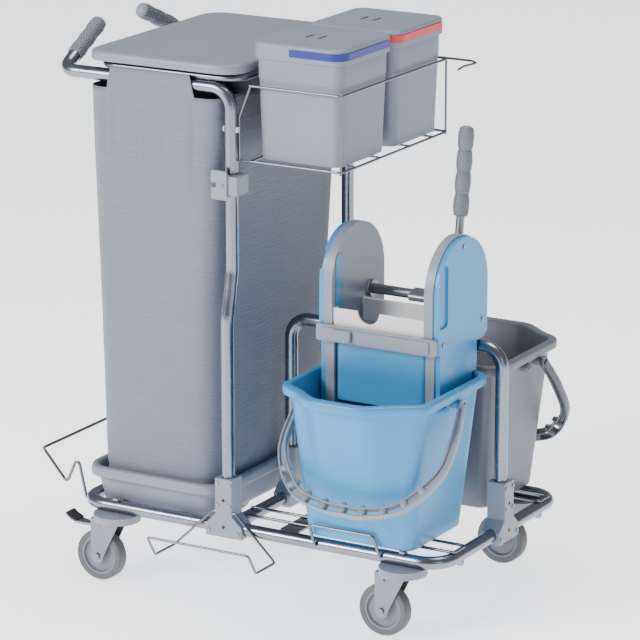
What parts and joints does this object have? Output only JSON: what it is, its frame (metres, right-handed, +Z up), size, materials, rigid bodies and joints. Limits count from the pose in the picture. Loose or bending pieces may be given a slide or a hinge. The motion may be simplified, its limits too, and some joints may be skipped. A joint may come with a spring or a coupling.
{
  "type": "housekeeping cart",
  "caption": "Tube-framed housekeeping cart with a covered laundry bag, paired mop buckets with a press wringer, and small lidded bins in a wire basket.",
  "frame": {"origin": "on the floor, midway between the four caster stems", "axes": "+X along the cart from the handle end to the bucket end, +Y across it from the side with the wringer bucket to the side with the plain bucket, +Z up"},
  "size_m": [0.922, 0.6918, 1.0843],
  "materials": {
    "tube": "polished",
    "wire": "polished",
    "bar": "satin",
    "clamp": "satin",
    "grip": "dimpled",
    "blue": "satin",
    "grey": "satin",
    "lid": "satin",
    "bag": "woven",
    "bin": "satin",
    "band_blue": "satin",
    "band_red": "satin",
    "fork": "zinc plated",
    "hub": "satin",
    "tyre": "matt",
    "cap": "satin",
    "pedal": "zinc plated",
    "screw": "polished",
    "white": "satin",
    "shaft": "zinc plated"
  },
  "bodies": {
    "cart": {"base_frame": "tube", "mid_cross_tube": "tube", "support_bars": "bar", "bucket_rack_wires": "wire", "post_brackets": "clamp", "divider_brackets": "clamp", "bracket_screws": "screw", "front_post": "tube", "rear_post": "tube", "handle_grips": "grip", "post_bolts": "white", "divider_tube": "tube", "lid_hoop": "wire", "laundry_bag": "bag", "bag_tray": "grey", "bin_basket": "wire", "end_wire_holder": "wire", "bucket_guards": "wire", "tool_clip": "grey", "caster_covers": "cap", "frame_bolts": "screw"},
    "front_left_swivel": {"front_left_fork": "fork"},
    "front_left_wheel": {"front_left_hub": "hub", "front_left_tyre": "tyre"},
    "front_left_brake": {"front_left_pedal": "pedal"},
    "rear_left_swivel": {"rear_left_fork": "fork"},
    "rear_left_wheel": {"rear_left_hub": "hub", "rear_left_tyre": "tyre"},
    "rear_left_brake": {"rear_left_pedal": "pedal"},
    "front_right_swivel": {"front_right_fork": "fork"},
    "front_right_wheel": {"front_right_hub": "hub", "front_right_tyre": "tyre"},
    "rear_right_swivel": {"rear_right_fork": "fork"},
    "rear_right_wheel": {"rear_right_hub": "hub", "rear_right_tyre": "tyre"},
    "bag_cover": {"bag_lid": "lid"},
    "mop_shelf": {"front_wire_holder": "wire"},
    "front_small_bin": {"front_bin": "bin"},
    "front_small_lid": {"front_bin_lid": "bin", "front_bin_band": "band_blue"},
    "rear_small_bin": {"rear_bin": "bin"},
    "rear_small_lid": {"rear_bin_lid": "bin", "rear_bin_band": "band_red"},
    "front_pail": {"front_bucket": "blue"},
    "front_handle": {"front_bail": "grey"},
    "rear_pail": {"rear_bucket": "grey"},
    "rear_handle": {"rear_bail": "grey"},
    "wringer": {"wringer_left_inner": "grey", "wringer_left_outer": "blue", "wringer_right_inner": "grey", "wringer_right_outer": "blue", "wringer_crossbar": "grey", "crossbar_clip": "grey", "wringer_basket": "blue", "wringer_guide": "white", "wringer_screws": "screw", "shaft_bushes": "white"},
    "press": {"press_shaft": "shaft", "lever_grip": "grip"},
    "jaw": {"press_jaw": "grey"}
  },
  "joints": [
    {"name": "front_left_swivel_turn", "type": "hinge", "parent": "cart", "child": "front_left_swivel", "pos_m": [-0.314, -0.237, 0.1525], "axis": [0, 0, 1], "continuous": true},
    {"name": "front_left_roll", "type": "hinge", "parent": "front_left_swivel", "child": "front_left_wheel", "pos_m": [-0.351, -0.237, 0.05], "axis": [0, 1, 0], "continuous": true},
    {"name": "front_left_brake_press", "type": "hinge", "parent": "front_left_swivel", "child": "front_left_brake", "pos_m": [-0.344, -0.237, 0.112], "axis": [0, -1, 0], "range_deg": [0, 6]},
    {"name": "rear_left_swivel_turn", "type": "hinge", "parent": "cart", "child": "rear_left_swivel", "pos_m": [-0.314, 0.237, 0.1525], "axis": [0, 0, 1], "continuous": true},
    {"name": "rear_left_roll", "type": "hinge", "parent": "rear_left_swivel", "child": "rear_left_wheel", "pos_m": [-0.351, 0.237, 0.05], "axis": [0, 1, 0], "continuous": true},
    {"name": "rear_left_brake_press", "type": "hinge", "parent": "rear_left_swivel", "child": "rear_left_brake", "pos_m": [-0.344, 0.237, 0.112], "axis": [0, -1, 0], "range_deg": [0, 6]},
    {"name": "front_right_swivel_turn", "type": "hinge", "parent": "cart", "child": "front_right_swivel", "pos_m": [0.314, -0.237, 0.1525], "axis": [0, 0, 1], "continuous": true},
    {"name": "front_right_roll", "type": "hinge", "parent": "front_right_swivel", "child": "front_right_wheel", "pos_m": [0.277, -0.237, 0.05], "axis": [0, 1, 0], "continuous": true},
    {"name": "rear_right_swivel_turn", "type": "hinge", "parent": "cart", "child": "rear_right_swivel", "pos_m": [0.314, 0.237, 0.1525], "axis": [0, 0, 1], "continuous": true},
    {"name": "rear_right_roll", "type": "hinge", "parent": "rear_right_swivel", "child": "rear_right_wheel", "pos_m": [0.277, 0.237, 0.05], "axis": [0, 1, 0], "continuous": true},
    {"name": "bag_cover_open", "type": "hinge", "parent": "cart", "child": "bag_cover", "pos_m": [-0.048, 0, 1.0125], "axis": [0, 1, 0], "range_deg": [0, 58]},
    {"name": "mop_shelf_fold", "type": "hinge", "parent": "cart", "child": "mop_shelf", "pos_m": [-0.063, -0.2523, 0.186], "axis": [-1, 0, 0], "range_deg": [0, 80]},
    {"name": "front_bin_lift", "type": "slide", "parent": "cart", "child": "front_small_bin", "axis": [0, 0, 1], "range_m": [0, 0.22]},
    {"name": "front_bin_lid_lift", "type": "slide", "parent": "front_small_bin", "child": "front_small_lid", "axis": [0, 0, 1], "range_m": [0, 0.06]},
    {"name": "rear_bin_lift", "type": "slide", "parent": "cart", "child": "rear_small_bin", "axis": [0, 0, 1], "range_m": [0, 0.22]},
    {"name": "rear_bin_lid_lift", "type": "slide", "parent": "rear_small_bin", "child": "rear_small_lid", "axis": [0, 0, 1], "range_m": [0, 0.06]},
    {"name": "front_bucket_lift", "type": "slide", "parent": "cart", "child": "front_pail", "axis": [0, -0.27, 0.9629], "range_m": [0, 0.06]},
    {"name": "front_bail_swing", "type": "hinge", "parent": "front_pail", "child": "front_handle", "pos_m": [0.224, -0.141, 0.435], "axis": [-1, 0, 0], "range_deg": [0, 105]},
    {"name": "rear_bucket_lift", "type": "slide", "parent": "cart", "child": "rear_pail", "axis": [0, 0.27, 0.9629], "range_m": [0, 0.06]},
    {"name": "rear_bail_swing", "type": "hinge", "parent": "rear_pail", "child": "rear_handle", "pos_m": [0.224, 0.192, 0.435], "axis": [1, 0, 0], "range_deg": [0, 105]},
    {"name": "wringer_lift", "type": "slide", "parent": "front_pail", "child": "wringer", "axis": [0, 0, 1], "range_m": [0, 0.045]},
    {"name": "lever_press", "type": "hinge", "parent": "wringer", "child": "press", "pos_m": [0.2215, -0.024, 0.597], "axis": [1, 0, 0], "range_deg": [0, 75]},
    {"name": "jaw_slide", "type": "slide", "parent": "wringer", "child": "jaw", "axis": [0, 0, -1], "range_m": [0, 0.046]}
  ],
  "couplings": [
    {"joint": "jaw_slide", "follows": "lever_press", "m_per_rad": 0.03438}
  ]
}
